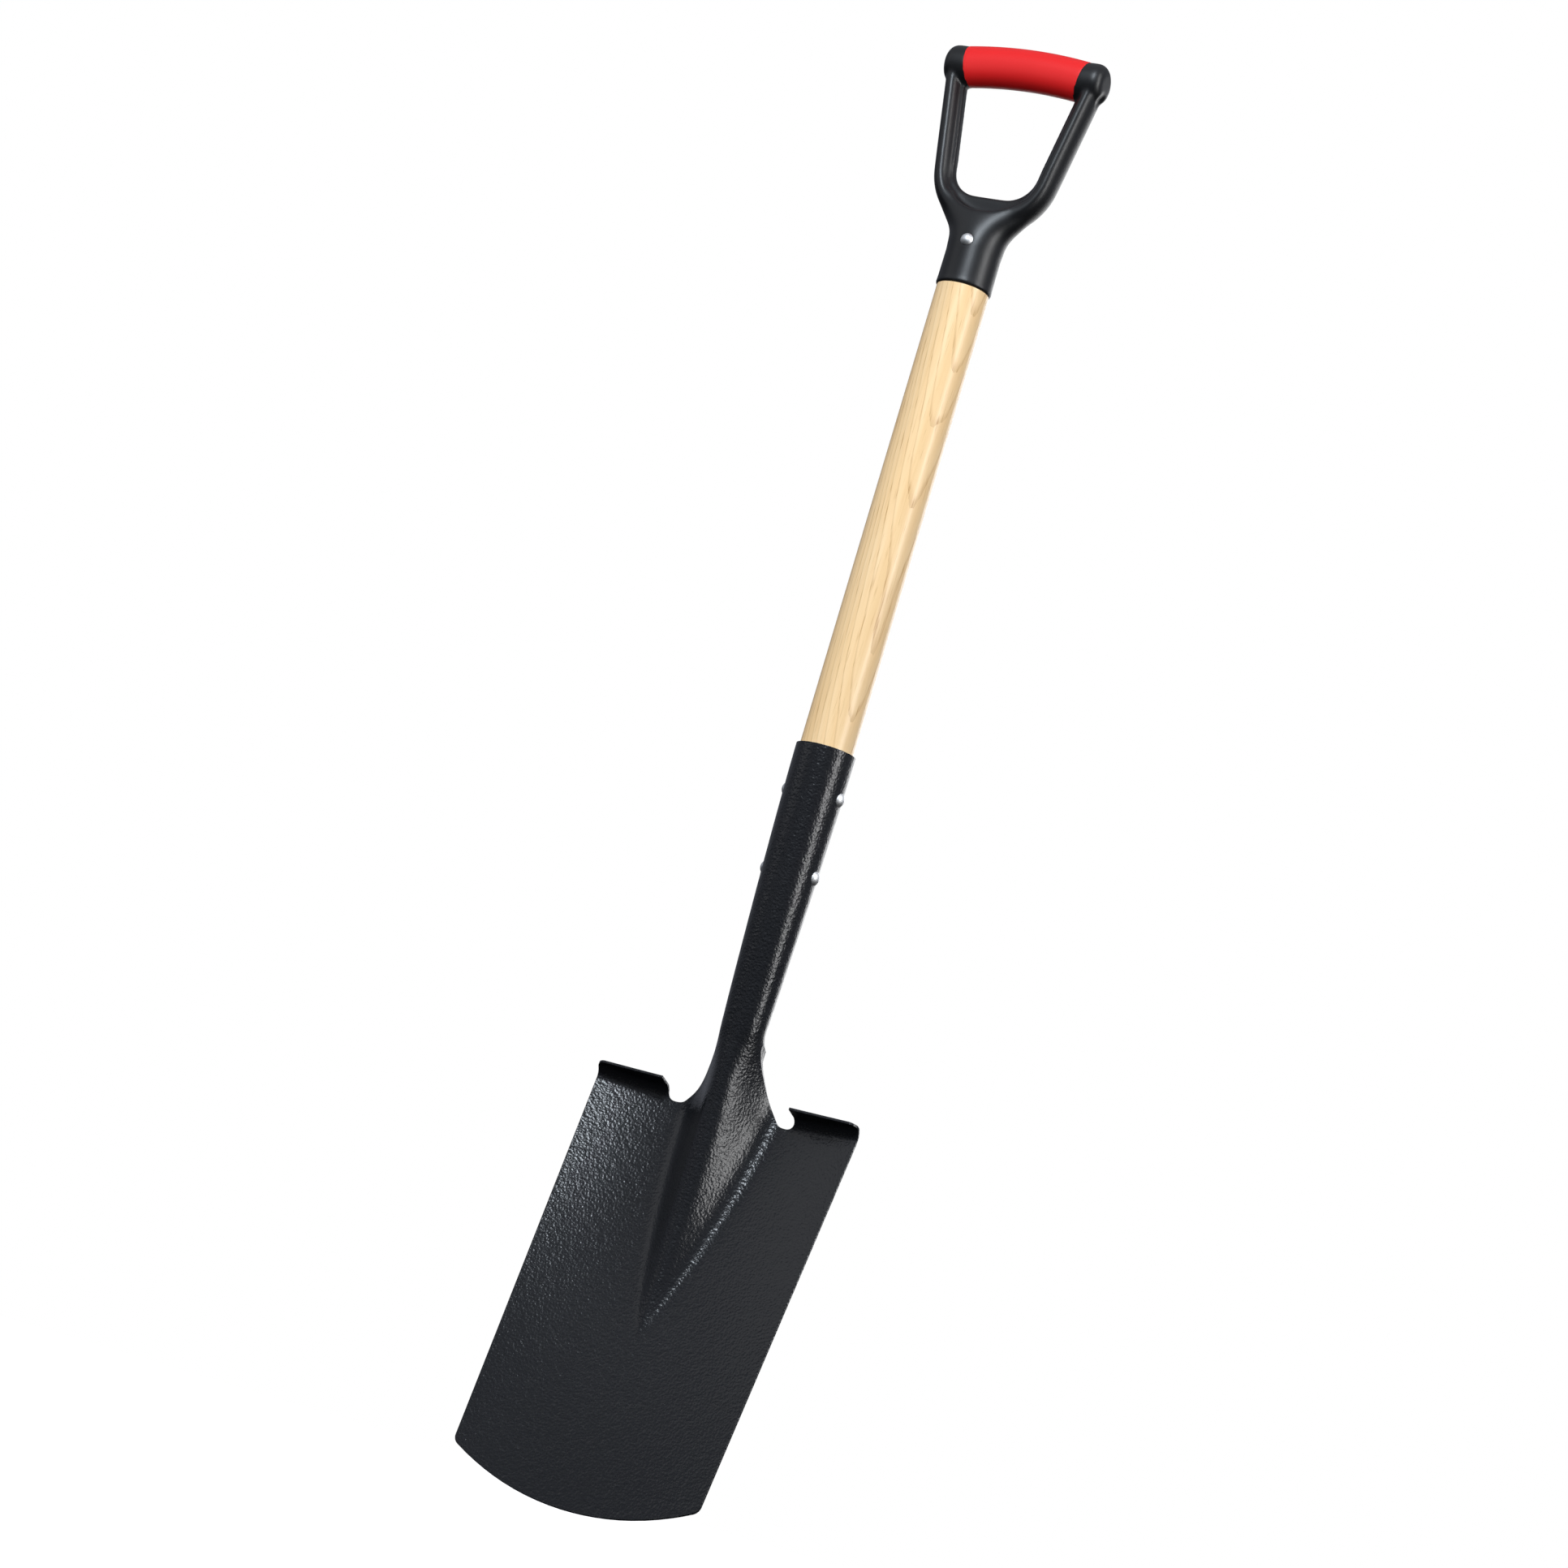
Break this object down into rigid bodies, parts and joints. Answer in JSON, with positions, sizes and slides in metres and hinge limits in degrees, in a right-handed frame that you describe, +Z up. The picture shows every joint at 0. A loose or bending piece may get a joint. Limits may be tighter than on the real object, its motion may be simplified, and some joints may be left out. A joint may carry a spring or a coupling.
{
  "type": "garden spade",
  "caption": "D-handled garden spade: straight wooden shaft in a rolled socket, dished steel blade with forward-turned treads and an arched soft grip bar.",
  "frame": {"origin": "middle of the grip bar, at the top of its arch", "axes": "+Z up the shaft towards the grip, +X along the grip bar and across the blade, -Y out of the blade's face, the side that the treads turn towards"},
  "size_m": [0.2, 0.0818, 1.0753],
  "materials": {
    "powder_coated_steel": "black orange-peel powder coat, semi-gloss",
    "ash_wood": "pale straight-grained ash under clear lacquer",
    "black_moulding": "satin moulded plastic",
    "red_soft_grip": "smooth soft-touch, slightly satin",
    "zinc_rivet": "bright zinc-plated domed head"
  },
  "bodies": {
    "root": {"blade_and_socket": "powder_coated_steel", "shaft": "ash_wood", "d_grip": "black_moulding", "grip_sleeve": "red_soft_grip", "upper_socket_rivet": "zinc_rivet", "lower_socket_rivet": "zinc_rivet", "d_grip_rivet": "zinc_rivet"}
  },
  "joints": []
}
